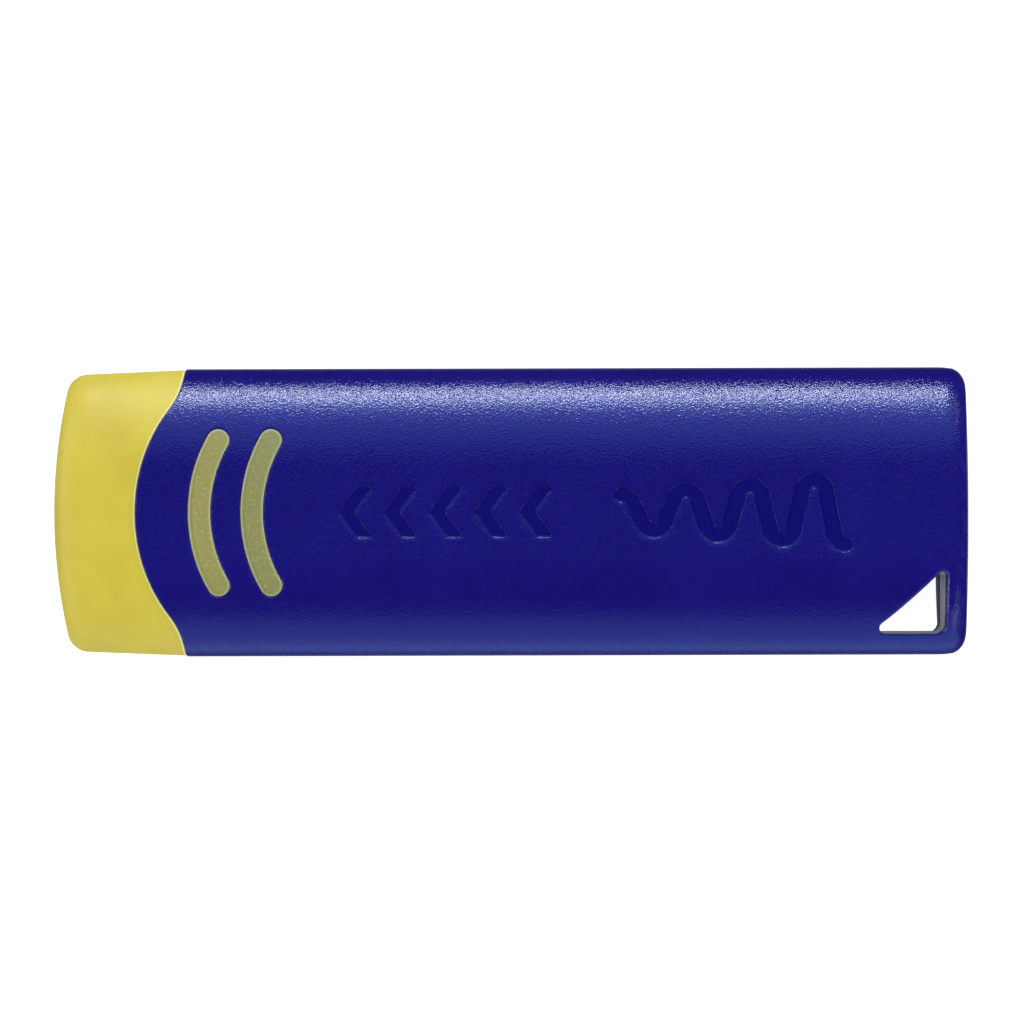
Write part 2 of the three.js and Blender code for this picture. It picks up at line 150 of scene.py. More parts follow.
# The sunk marks: five chevrons and a scribbled stroke. Their sides go down by (offset from the rim, share
# of the depth).
marks = {
    "deep": 0.16,
    "slope": [
        (0.04, 0),
        (0.015, 0.07),
        (-0.01, 0.28),
        (-0.05, 0.72),
        (-0.075, 0.93),
        (-0.1, 1),
        (-0.14, 1),
    ],
    "corner": 0.16,
    "step": 0.11,
    "clearance": 0.24,
    "chevrons": 5,
    "chevronPitch": 3.1,
    "chevronStart": -11.9,
    "chevronReach": 1.3,
    "chevronHalfHigh": 1.75,
    "chevronBar": 1.15,
    "turns": 8,
    "turnPitch": 2.2,
    "turnStart": 7.6,
    "turnRadius": 0.8,
    "firstReach": 0.35,
    "lastReach": 1.5,
    "strokeWide": 1.05,
}

# the rubber: how far it lies under the case, its tip, its seam and pads, the painted glow along its edges
# and the painted shadow along the pads' sides, and then how finely it is meshed
rubber = {
    "step": 0.06,
    "taper": 0.041,
    "crown": 37.5,
    "bulge": 17.0,
    "corner": 1.0,
    "edge": 1.2,
    "seamGap": 0.03,
    "seamRound": 0.05,
    "neckDepth": 1.55,
    "padGap": 0.025,
    "padRecess": 0.04,
    "padRound": 0.09,
    "wallLean": 0.03,
    "wallFoot": 0.04,
    "glowIn": 0.07,
    "glowWide": 0.05,
    "padGlow": 0.8,
    "padGlowWide": 0.08,
    # the painted shadow along the pads' sides towards the tip and up, as cast by the window's rim
    "padShadowSide": (-0.9, 0.45),
    "padShadowIn": 0.17,
    "padShadowWide": 0.05,
    "grid": 0.42,
    "inset": 0.2,
    "clearance": 0.28,
    "columns": 91,
    "seamColumns": 260,
    "ringCount": 6,
    "padStep": 0.12,
    "padRings": (0.22, 0.36),
    "seamRings": (0.26, 0.4),
    "glowRings": (0, 0.7, 1.4, 2.2),
    "tipSide": (0.6, 16),
    "neckSide": (0.5, 24),
    "tipLevels": (0.85, 0, 9),
    "neckLevels": (0.6, 0.3, 0),
}

# how much of an end's edge radius the filled skin runs on for, and how many rows go on round from there
skinShare = 0.4
turnRows = 9
# a ring point nearer to its loop than this share of its offset has folded over at a tight corner
foldShare = 0.93
# how close to a line counts as on it
hair = 1e-6


# Half of the cross-section, from the +Y parting line over the face to the -Y one: a flat land with a
# superellipse quarter |y/a|^p + |z/b|^p = 1 at each side. Columns: arc length, y, z and the outward normal.
def sectionTable():
    land, power = section["land"] / 2, section["power"]
    wide, high = halfWide - land, halfThick
    angle = np.linspace(0, np.pi / 2, section["steps"])
    across, up = np.cos(angle).clip(0), np.sin(angle)
    y = land + wide * across ** (2 / power)
    z = high * up ** (2 / power)
    ny = across ** (2 - 2 / power) / wide
    nz = up ** (2 - 2 / power) / high
    size = np.hypot(ny, nz)
    half = np.stack([y, z, ny / size, nz / size], axis=1)
    other = half[::-1] * [-1, 1, -1, 1]
    whole = np.concatenate([half, other])
    steps = np.hypot(np.diff(whole[:, 0]), np.diff(whole[:, 1]))
    return np.column_stack([np.concatenate([[0], np.cumsum(steps)]), whole])


table = sectionTable()
sectionLength = table[-1, 0]


# y, z and the outward normal at arc length s
def sectionAt(s):
    return [np.interp(s, table[:, 0], table[:, column]) for column in (1, 2, 3, 4)]


# Arc length at which the section reaches y. The table runs from +Y to -Y, so it is read backwards.
def arcAt(y):
    return np.interp(-np.asarray(y), -table[:, 1], table[:, 0])


# Arc length at which the side stands at height z over the parting plane.
def arcAtHeight(z):
    quarter = table[: section["steps"]]
    return float(np.interp(z, quarter[:, 2], quarter[:, 0]))


# Radius of an end's edge: from "edge" over the faces to "corner" at the sides, by the normal's y squared.
def edgeRadius(end, ny):
    return end["edge"] + (end["corner"] - end["edge"]) * ny**2


# The case's skin: u runs along the length and s round the section. Past the last straight bit, u goes on
# round the quarter turn into the end face: x = end(y, z) - r (1 - sin a), and y, z go in by r (1 - cos a).
def caseSkin(u, s):
    y, z, ny, nz = sectionAt(s)
    radius = edgeRadius(tail, ny)
    angle = ((u - tailStart(s)) / radius).clip(0, np.pi / 2)
    inward = radius * (1 - np.cos(angle))
    py, pz = y - ny * inward, z - nz * inward
    x = np.where(angle > 0, tailFace(py, pz) - radius * (1 - np.sin(angle)), u)
    place = np.stack([x, py, pz], axis=-1)
    normal = np.stack([np.sin(angle), ny * np.cos(angle), nz * np.cos(angle)], axis=-1)
    return place, normal


# x of the end face: a shallow bowl, y^2 / 2 crown + z^2 / 2 bulge in from the farthest point
def tailFace(y, z):
    return tailX - y**2 / (2 * tail["crown"]) - z**2 / (2 * tail["bulge"])


# u at which the case's skin starts to turn into the end face
def tailStart(s):
    y, z, ny, _ = sectionAt(s)
    return tailFace(y, z) - edgeRadius(tail, ny)


# The rubber's skin before its steps: the same section, and at the tip the same quarter turn facing -X.
def rubberSkin(u, s, depth):
    y, z, ny, nz = sectionAt(s)
    radius = edgeRadius(rubber, ny)
    angle = ((tipStart(s) - u) / radius).clip(0, np.pi / 2)
    inward = depth + radius * (1 - np.cos(angle))
    py, pz = y - ny * inward, z - nz * inward
    x = np.where(angle > 0, tipFace(py, pz) + radius * (1 - np.sin(angle)), u)
    return np.stack([x, py, pz], axis=-1)


# x of the tip's face: the same kind of bowl, facing -X
def tipFace(y, z):
    return tipX + y**2 / (2 * rubber["crown"]) + z**2 / (2 * rubber["bulge"])


# u at which the rubber's skin starts to turn into the tip's face
def tipStart(s):
    y, z, ny, nz = sectionAt(s)
    depth = tipDepth(tipX + rubber["corner"])
    return tipFace(y - ny * depth, z - nz * depth) + edgeRadius(rubber, ny)


# How far the rubber lies under the case's skin: a small step at the seam, then a steady taper to the end.
def tipDepth(u):
    return rubber["step"] + rubber["taper"] * (sideSeamX - u)


# Where the seam meets the sides: a nose arc in the middle, and a flare arc to each side that touches it.
seamReach = math.sqrt((seam["nose"] + seam["flare"]) ** 2 - halfWide**2)
sideSeamX = noseX + seam["nose"] - seamReach + seam["flare"]


# u of the seam at arc length s, on the nose arc or on the flare arc, whichever side of their joint y is
def seamAt(s):
    y = sectionAt(s)[0]
    nose, flare = seam["nose"], seam["flare"]
    joint = nose * halfWide / (nose + flare)
    onNose = noseX + nose - np.sqrt((nose**2 - y**2).clip(0))
    aside = halfWide - abs(y)
    onFlare = sideSeamX - flare + np.sqrt((flare**2 - aside**2).clip(0))
    return np.where(abs(y) < joint, onNose, onFlare)


# Points round a circle's centre from one angle to another.
def arcPoints(centre, radius, start, end, count=24):
    angle = np.linspace(start, end, count)
    return np.stack([centre[0] + radius * np.cos(angle), centre[1] + radius * np.sin(angle)], axis=1)


# An outline in the plan from corners (x, y, radius): each becomes an arc that touches both its sides. The
# arc's centre stands on the corner's bisector, radius / sin(half the corner) away.
def roundedOutline(corners):
    arcs = []
    for i, (x, y, radius) in enumerate(corners):
        here = np.array([x, y])
        back = np.array(corners[i - 1][:2]) - here
        ahead = np.array(corners[(i + 1) % len(corners)][:2]) - here
        back, ahead = back / np.linalg.norm(back), ahead / np.linalg.norm(ahead)
        half = math.acos(back @ ahead) / 2
        middle = (back + ahead) / np.linalg.norm(back + ahead)
        centre = here + middle * radius / math.sin(half)
        turn = np.sign(back[0] * ahead[1] - back[1] * ahead[0])
        first = here + back * radius / math.tan(half) - centre
        start = math.atan2(first[1], first[0])
        arcs.append(arcPoints(centre, radius, start, start - turn * (math.pi - 2 * half)))
    return np.concatenate(arcs)


# A curved band with round ends: two arcs about one centre and a half circle at each end.
def bandOutline(x, inset):
    half = windows["wide"] / 2 - inset
    swing = math.asin(windows["halfSpan"] / windows["radius"])
    centre = (x + windows["radius"], 0)
    endX = centre[0] - windows["radius"] * math.cos(swing)
    return np.concatenate([
        arcPoints(centre, windows["radius"] + half, math.pi - swing, math.pi + swing, 90),
        arcPoints((endX, -windows["halfSpan"]), half, math.pi + swing, 2 * math.pi + swing),
        arcPoints(centre, windows["radius"] - half, math.pi + swing, math.pi - swing, 90),
        arcPoints((endX, windows["halfSpan"]), half, -swing, math.pi - swing),
    ])


# x of each window's middle
def windowPlaces():
    return noseX + windows["firstFromNose"] + np.arange(windows["count"]) * windows["pitch"]


# the lanyard hole: a right triangle with its corner towards the tail and the -Y side, and round corners
def eyeOutline():
    x, y = tailX - eye["fromTail"], eye["fromSide"] - halfWide
    return roundedOutline([
        (x, y, eye["tailCorner"]),
        (x, y + eye["high"], eye["topCorner"]),
        (x - eye["long"], y, eye["noseCorner"]),
    ])


# a bent bar that points at the tip
def chevronOutline(x):
    reach, high, bar = marks["chevronReach"], marks["chevronHalfHigh"], marks["chevronBar"]
    corners = [(0, 0), (reach, -high), (reach + bar, -high), (bar, 0), (reach + bar, high), (reach, high)]
    return roundedOutline([(x + px, py, marks["corner"]) for px, py in corners])


# A scribbled stroke: turning circles stand by turns over and under the middle, and the stroke follows the
# line that touches two of them on opposite sides, so it leaves at their bearing less asin(2 r / distance).
def scribbleOutline():
    count, radius, half = marks["turns"], marks["turnRadius"], marks["strokeWide"] / 2
    index = np.arange(count)
    side = np.where(index % 2, -1, 1)
    x = marks["turnStart"] + index * marks["turnPitch"]
    y = side * np.linspace(marks["firstReach"], marks["lastReach"], count)
    dx, dy = np.diff(x), np.diff(y)
    heading = np.arctan2(dy, dx) - side[:-1] * np.arcsin(2 * radius / np.hypot(dx, dy))
    start = np.concatenate([[0], heading]) + side * np.pi / 2
    end = np.concatenate([heading, [0]]) + side * np.pi / 2
    turns = list(zip(zip(x, y), side, start, end))
    ahead = [arcPoints(c, radius + k * half, a, b, 12) for c, k, a, b in turns]
    back = [arcPoints(c, radius - k * half, b, a, 12) for c, k, a, b in turns[::-1]]
    tips = np.stack([x, y + side * radius], axis=1)
    lastCap = arcPoints(tips[-1], half, np.pi / 2, -np.pi / 2, 10)
    firstCap = arcPoints(tips[0], half, -np.pi / 2, -3 * np.pi / 2, 10)
    return np.concatenate([*ahead, lastCap, *back, firstCap])


# Evenly spaced points along a closed outline, always anticlockwise.
def evenLoop(outline, spacing):
    turn = np.sum(outline[:, 0] * np.roll(outline[:, 1], -1) - outline[:, 1] * np.roll(outline[:, 0], -1))
    path = outline if turn > 0 else outline[::-1]
    path = np.concatenate([path, path[:1]])
    along = np.concatenate([[0], np.cumsum(np.linalg.norm(np.diff(path, axis=0), axis=1))])
    count = max(int(along[-1] / spacing), 8)
    at = np.arange(count) * along[-1] / count
    return np.stack([np.interp(at, along, path[:, 0]), np.interp(at, along, path[:, 1])], axis=1)


# Unit directions square to a path, to its right: away from the inside of an anticlockwise loop.
def outwards(path, closed=True):
    run = np.roll(path, -1, axis=0) - np.roll(path, 1, axis=0) if closed else np.gradient(path, axis=0)
    run = run / np.linalg.norm(run, axis=1, keepdims=True)
    return np.stack([run[:, 1], -run[:, 0]], axis=1)


# an outline's (x, y) as (u, s) of the skin
def planToSkin(outline):
    return np.stack([outline[:, 0], arcAt(outline[:, 1])], axis=1)


# Whether each point is inside a closed loop, by counting how many of its edges lie to the point's right.
def inside(points, loop):
    ax, ay = loop[:, 0], loop[:, 1]
    bx, by = np.roll(ax, -1), np.roll(ay, -1)
    px, py = points[:, :1], points[:, 1:]
    spans = (ay > py) != (by > py)
    rise = np.where(by == ay, 1, by - ay)
    crossing = ax + (py - ay) * (bx - ax) / rise
    return (np.sum(spans & (px < crossing), axis=1) % 2).astype(bool)


# What a pick finds in each point's squared distances to some samples, worked out a block at a time.
def pickSquares(points, samples, pick):
    blocks = [points[i : i + 2000] for i in range(0, len(points), 2000)]
    return np.concatenate([
        pick(((block[:, None, :] - samples[None, :, :]) ** 2).sum(axis=2), axis=1) for block in blocks
    ])


# Distance from each point to the nearest of some samples.
def nearest(points, samples):
    return np.sqrt(pickSquares(points, samples, np.min))


# The grid's points that lie inside an outline, clear of some samples and outside the openings.
def sieve(grid, outline, samples, clearance, openings=()):
    grid = grid[inside(grid, outline)]
    grid = grid[nearest(grid, samples) > clearance]
    for loop in openings:
        grid = grid[~inside(grid, loop)]
    return grid


# Depth of a quarter-round edge of radius r at distance d from it: r - sqrt(r^2 - (r - d)^2).
def roundOff(distance, radius):
    short = (radius - distance).clip(0, radius)
    return radius - np.sqrt((radius**2 - short**2).clip(0))


# Point numbers of each of several paths that are laid end to end.
def numberLoops(paths):
    starts = np.cumsum([0] + [len(path) for path in paths])
    return [np.arange(a, b) for a, b in zip(starts[:-1], starts[1:])]


# Offsets from a rim at which even steps round a quarter circle of that radius lie: r (1 - cos a).
def ringOffsets(radius, count):
    return radius * (1 - np.cos(np.linspace(0, np.pi / 2, count)))


# Offsets of a rim's rings: round its quarter circle, and at 2 and at some last number of radii on the skin.
def rimSteps(radius, last):
    return [*ringOffsets(radius, case["ringCount"])[1:], radius * 2, radius * last]


# A ring beside a loop, without the points that fold over at its tight corners.
def ringBeside(loop, offset):
    ring = loop + outwards(loop) * offset
    return ring[nearest(ring, loop) > abs(offset) * foldShare]


# Triangles over flat points, with the edges of each loop kept. A loop is a list of point numbers. The first
# loop is the outline, which option 1 fills, and the rest are openings.
def fillRegion(points, loops):
    edges = np.concatenate([np.stack([loop, np.roll(loop, -1)], axis=1) for loop in loops])
    found = geometry.delaunay_2d_cdt(points.tolist(), edges.tolist(), [], 1, 1e-7)
    first = np.array([ids[0] for ids in found[3]])
    faces = first[np.array(found[2])]
    middles = points[faces].mean(axis=1)
    keep = np.ones(len(faces), dtype=bool)
    for loop in loops[1:]:
        keep &= ~inside(middles, points[loop])
    return faces[keep]


# Quads between rows of point numbers; each row has as many numbers as the next.
def joinRows(rows, closed=False):
    rows = np.asarray(rows)
    ahead = np.roll(rows, -1, axis=1)
    quads = np.stack([rows[:-1], ahead[:-1], ahead[1:], rows[1:]], axis=-1)
    return (quads if closed else quads[:, :-1]).reshape(-1, 4)


# an object with that data, put into the scene
def putIn(name, data):
    thing = bpy.data.objects.new(name, data)
    bpy.context.scene.collection.objects.link(thing)
    return thing


# Points and faces gathered for one piece. Each point also carries finish values, which its material reads.
class MeshParts:
    def __init__(self, finishNames):
        self.points, self.finish, self.faces, self.count = [], [], [], 0
        self.finishNames = finishNames

    def addPoints(self, points, finish=0):
        start = self.count
        self.points.append(points)
        self.finish.append(np.broadcast_to(finish, (len(points), len(self.finishNames))))
        self.count += len(points)
        return np.arange(start, self.count)

    def addFaces(self, faces, flip=False):
        self.faces.append(faces[:, ::-1] if flip else faces)

    def addRows(self, rows, closed=False, flip=False):
        self.addFaces(joinRows(rows, closed), flip)


# One piece from its gathered parts (side 1), from their mirror image under z = 0 (side -1), or from both.
# Points closer together than a hundredth of a micrometre become one, and faces that lose an edge go.
def makePiece(name, parts, sides, material):
    points, finish = np.concatenate(parts.points), np.concatenate(parts.finish)
    points[abs(points[:, 2]) < hair, 2] = 0
    allPoints = np.concatenate([points * [1, 1, side] for side in sides])
    allFaces = [
        (block if side > 0 else block[:, ::-1]) + i * len(points)
        for i, side in enumerate(sides)
        for block in parts.faces
    ]
    _, first, number = np.unique(np.round(allPoints, 5), axis=0, return_index=True, return_inverse=True)
    number = number.reshape(-1)
    polygons = []
    for block in allFaces:
        for polygon in number[block].tolist():
            ring = [p for i, p in enumerate(polygon) if p != polygon[i - 1]]
            if len(ring) > 2:
                polygons.append(ring)
    points, finish = allPoints[first], np.concatenate([finish] * len(sides))[first]
    mesh = bpy.data.meshes.new(name)
    placed = (points + [0, 0, middleZ]) * mm
    mesh.from_pydata(placed.tolist(), [], polygons)
    mesh.polygons.foreach_set("use_smooth", np.ones(len(mesh.polygons), dtype=bool))
    for column, finishName in enumerate(parts.finishNames):
        layer = mesh.attributes.new(finishName, "FLOAT", "POINT")
        layer.data.foreach_set("value", finish[:, column].astype(np.float32))
    mesh.update()
    mesh.materials.append(material)
    print("made", name, len(points), "points", len(polygons), "faces")
    return putIn(name, mesh)


# an even grid of (u, s) points
def gridPoints(lowU, highU, lowS, highS, spacing):
    u = np.linspace(lowU, highU, int((highU - lowU) / spacing) + 1)
    s = np.linspace(lowS, highS, int((highS - lowS) / spacing) + 1)
    return np.stack(np.meshgrid(u, s), axis=-1).reshape(-1, 2)


# One half of the case, over z = 0. The skin is a height field over (u, s): place less normal times depth.
def caseHalf(withMarks):
    half = MeshParts(("sunk", "rimSheen", "rough", "paintedReflection"))
    gap = case["partingGap"] / 2
    low = arcAtHeight(gap)
    high = sectionLength - low
    fillet = tail["edge"] * skinShare
    rings = ringOffsets(case["partingRound"], case["partingRings"])
    lowIn, highIn = low + case["inset"], high - case["inset"]

    # columns round the section, dense next to the parting line
    def columns(count):
        return np.concatenate([low + rings, np.linspace(lowIn, highIn, count), high - rings[::-1]])

    seamS, tailS = columns(case["seamColumns"]), columns(case["tailColumns"])
    seamLine = np.stack([seamAt(seamS), seamS], axis=1)
    tailLine = np.stack([tailStart(tailS) + fillet, tailS], axis=1)
    seamSteps = rimSteps(seam["round"], seam["lastRing"])
    fromSeam, fromTail = case["sideMargins"]
    farSide = tailX - tail["corner"] - fromTail
    evenUs = np.linspace(sideSeamX + fromSeam, farSide, int((farSide - sideSeamX) / case["grid"]))
    sideUs = np.concatenate([sideSeamX + np.array(seamSteps), evenUs])
    lowLine = np.stack([sideUs, np.full(len(sideUs), low)], axis=1)
    highLine = np.stack([sideUs[::-1], np.full(len(sideUs), high)], axis=1)
    outline = np.concatenate([lowLine, tailLine, highLine, seamLine[::-1]])
    openings = [evenLoop(planToSkin(bandOutline(x, 0)), case["edgeStep"]) for x in windowPlaces()]
    openings.append(evenLoop(planToSkin(eyeOutline()), case["edgeStep"] * case["eyeStep"]))
    windowLoops, eyeLoop = openings[:-1], openings[-1]
    windowEdges = np.concatenate(windowLoops)

    # fixed points come first, so that their numbers are known
    fixed = [outline, *openings]
    loops = numberLoops(fixed)

    # rings of points along each rim, for its quarter round and the skin next to it
    free = []
    windowSteps = rimSteps(windows["round"], windows["lastRing"])
    eyeSteps = eye["chamfer"] * np.array(eye["rings"])
    for loop, steps in zip(openings, [windowSteps] * windows["count"] + [eyeSteps]):
        for offset in steps:
            free.append(loop + outwards(loop) * offset)
    for offset in seamSteps:
        free.append((seamLine + outwards(seamLine, closed=False) * offset)[1:-1])
    for offset in [*rings[1:], case["partingBand"]]:
        free.append(np.stack([sideUs[1:-1], np.full(len(sideUs) - 2, low + offset)], axis=1))
        free.append(np.stack([sideUs[1:-1], np.full(len(sideUs) - 2, high - offset)], axis=1))

    grid = gridPoints(noseX, tailX, lowIn, highIn, case["grid"])
    grid = sieve(grid, outline, np.concatenate(fixed), case["clearance"], openings)

    # the sunk marks: rings that step down their sloped sides, and grid points on their floors
    markLoops, markRings, markDepths = [], [], []
    if withMarks:
        starts = marks["chevronStart"] + np.arange(marks["chevrons"]) * marks["chevronPitch"]
        paths = [*map(chevronOutline, starts), scribbleOutline()]
        markLoops = [evenLoop(planToSkin(path), marks["step"]) for path in paths]
        grid = grid[nearest(grid, np.concatenate(markLoops)) > marks["clearance"]]
    for loop in markLoops:
        for offset, share in marks["slope"]:
            ring = ringBeside(loop, offset)
            markRings.append(ring)
            markDepths.append(np.full(len(ring), share * marks["deep"]))
    onFloor = np.zeros(len(grid), dtype=bool)
    for loop in markLoops:
        onFloor |= inside(grid, loop)

    free = np.concatenate(free)
    free = free[inside(free, outline)]
    points = np.concatenate([*fixed, free, *markRings, grid])
    plain = np.zeros(sum(len(p) for p in fixed) + len(free))
    depth = np.concatenate([plain, *markDepths, onFloor * marks["deep"]])
    sunk = depth / marks["deep"]

    seamAway, windowAway = nearest(points, seamLine), nearest(points, windowEdges)
    eyeAway = nearest(points, eyeLoop)
    depth = np.maximum(depth, roundOff(windowAway, windows["round"]))
    depth = np.maximum(depth, roundOff(seamAway, seam["round"]))
    depth = np.maximum(depth, roundOff(points[:, 1] - low, case["partingRound"]))
    depth = np.maximum(depth, roundOff(high - points[:, 1], case["partingRound"]))
    # the rims are painted paler towards their edges: a painted highlight along the rounded rims
    rimAway = np.minimum(np.minimum(seamAway, windowAway), eyeAway)
    rimSheen = np.exp(-rimAway / case["sheenReach"])

    place, normal = caseSkin(points[:, 0], points[:, 1])
    place = place - normal * depth[:, None]
    place[:, 2] -= (eye["chamfer"] - eyeAway).clip(0) * math.tan(math.radians(eye["chamferLean"]))
    place[: len(outline)][outlineOnPlane(outline, low, high), 2] = gap
    ids = half.addPoints(place, np.stack([sunk, rimSheen, 0 * rimSheen, 0 * rimSheen], axis=1))
    half.addFaces(ids[fillRegion(points, loops)], flip=True)

    # from the skin round the tail's edge, then straight down the end face to the parting plane
    tailIds = ids[len(lowLine) : len(lowLine) + len(tailS)]
    radius = edgeRadius(tail, sectionAt(tailS)[2])
    partDepth = roundOff(np.minimum(tailS - low, high - tailS), case["partingRound"])
    rows = [tailIds]
    for turn in np.linspace(0, 1, turnRows)[1:]:
        angle = fillet / radius + (np.pi / 2 - fillet / radius) * turn
        ring, outward = caseSkin(tailStart(tailS) + radius * angle, tailS)
        ring = ring - outward * partDepth[:, None]
        ring[[0, -1], 2] = gap
        # the middle of the tail's rounded edge is painted paler: a painted highlight
        rows.append(half.addPoints(ring, (0, case["tailSheen"] * math.sin(math.pi * turn), 0, 0)))
    rim, _ = caseSkin(tailStart(tailS) + radius * np.pi / 2, tailS)
    foot = gap + case["partingRound"]
    for level in tail["levels"]:
        z = np.minimum(foot + (rim[:, 2] - foot) * level, rim[:, 2]).clip(gap)
        rows.append(half.addPoints(faceRow(z, rim, gap)))
    for offset in rings[::-1]:
        rows.append(half.addPoints(faceRow(np.minimum(gap + offset, rim[:, 2]), rim, gap)))
    half.addRows(rows)

    # inner skin, with the seam wall and the window walls between the two skins
    cavityX = tailX - case["cavityFromTail"]
    innerUs = np.linspace(sideSeamX, cavityX, case["innerColumns"])[1:-1]
    endColumn = np.stack([np.full(len(tailS), cavityX), tailS], axis=1)
    innerLow = np.stack([innerUs, np.full(len(innerUs), low)], axis=1)
    innerHigh = np.stack([innerUs[::-1], np.full(len(innerUs), high)], axis=1)
    innerOutline = np.concatenate([innerLow, endColumn, innerHigh, seamLine[::-1]])
    innerFixed = [innerOutline, *windowLoops]
    innerLoops = numberLoops(innerFixed)
    lowInner, highInner = low + case["innerInset"], high - case["innerInset"]
    innerGrid = gridPoints(noseX, cavityX, lowInner, highInner, case["innerGrid"])
    innerClear = case["innerClearance"]
    innerGrid = sieve(innerGrid, innerOutline, np.concatenate(innerFixed), innerClear, windowLoops)
    innerPoints = np.concatenate([*innerFixed, innerGrid])
    innerPlace, innerNormal = caseSkin(innerPoints[:, 0], innerPoints[:, 1])
    innerPlace = innerPlace - innerNormal * case["wall"]
    innerPlace[: len(innerOutline)][outlineOnPlane(innerOutline, low, high), 2] = gap
    innerIds = half.addPoints(innerPlace)
    half.addFaces(innerIds[fillRegion(innerPoints, innerLoops)])
    for outer, inner in zip(loops[1:-1], innerLoops[1:]):
        half.addRows([ids[outer], innerIds[inner]], closed=True, flip=True)
    outerSeam = ids[len(outline) - len(seamLine) : len(outline)]
    innerSeam = innerIds[len(innerOutline) - len(seamLine) : len(innerOutline)]
    half.addRows([outerSeam, innerSeam], flip=True)

    # the cavity's end wall
    endIds = innerIds[len(innerLow) : len(innerLow) + len(tailS)]
    endPlace = innerPlace[len(innerLow) : len(innerLow) + len(tailS)]
    footIds = half.addPoints(np.column_stack([endPlace[:, :2], np.full(len(endPlace), gap)]))
    half.addRows([endIds, footIds])

    # The lanyard hole's wall draws in on its way down. Its middle is smooth in the front shell and painted
    # pale there, a painted reflection. The rim runs clockwise in the plan, so outwards() points into the
    # hole.
    eyeTop = place[loops[-1]]
    eyeRows = [ids[loops[-1]]]
    into = outwards(eyeTop[:, :2])
    for share, drawnIn, rough in eye["wall"]:
        z = gap + (eyeTop[:, 2] - gap) * share
        row = np.column_stack([eyeTop[:, :2] + into * drawnIn, z])
        # rows with no roughness are painted pale: a painted reflection
        finish = (0, 0, rough, 1 - 2 * rough) if withMarks else (0, 0, 0.5, 0)
        eyeRows.append(half.addPoints(row, finish))
    half.addRows(eyeRows, closed=True, flip=True)
    eyeFootIds = eyeRows[-1]

    # the parting face
    everything = np.concatenate(half.points)
    ring = np.concatenate([
        ids[[len(outline) - 1]],
        ids[: len(lowLine)],
        [row[0] for row in rows],
        rows[-1],
        [row[-1] for row in rows[::-1]],
        ids[len(lowLine) + len(tailLine) : len(outline) - len(seamLine)],
        ids[[len(outline) - len(seamLine)]],
        innerIds[[len(innerOutline) - len(seamLine)]],
        innerIds[len(innerLow) + len(endColumn) : len(innerOutline) - len(seamLine)][::-1],
        footIds[::-1],
        innerIds[: len(innerLow)][::-1],
        innerIds[[len(innerOutline) - 1]],
    ])
    numbers = np.concatenate([ring, eyeFootIds])
    kept = [np.arange(len(ring)), np.arange(len(ring), len(numbers))]
    half.addFaces(numbers[fillRegion(everything[numbers][:, :2], kept)], flip=True)
    return half


# which points of an outline lie on the parting line
def outlineOnPlane(outline, low, high):
    return (abs(outline[:, 1] - low) < hair) | (abs(outline[:, 1] - high) < hair)


# A row of the end face at height z, sunk towards the parting plane by the same quarter round.
def faceRow(z, rim, gap):
    sunk = roundOff(z - gap, case["partingRound"])
    row = np.stack([tailFace(rim[:, 1], z) - sunk, rim[:, 1], z], axis=1)
    row[z <= gap + 1e-9, 2] = gap
    return row


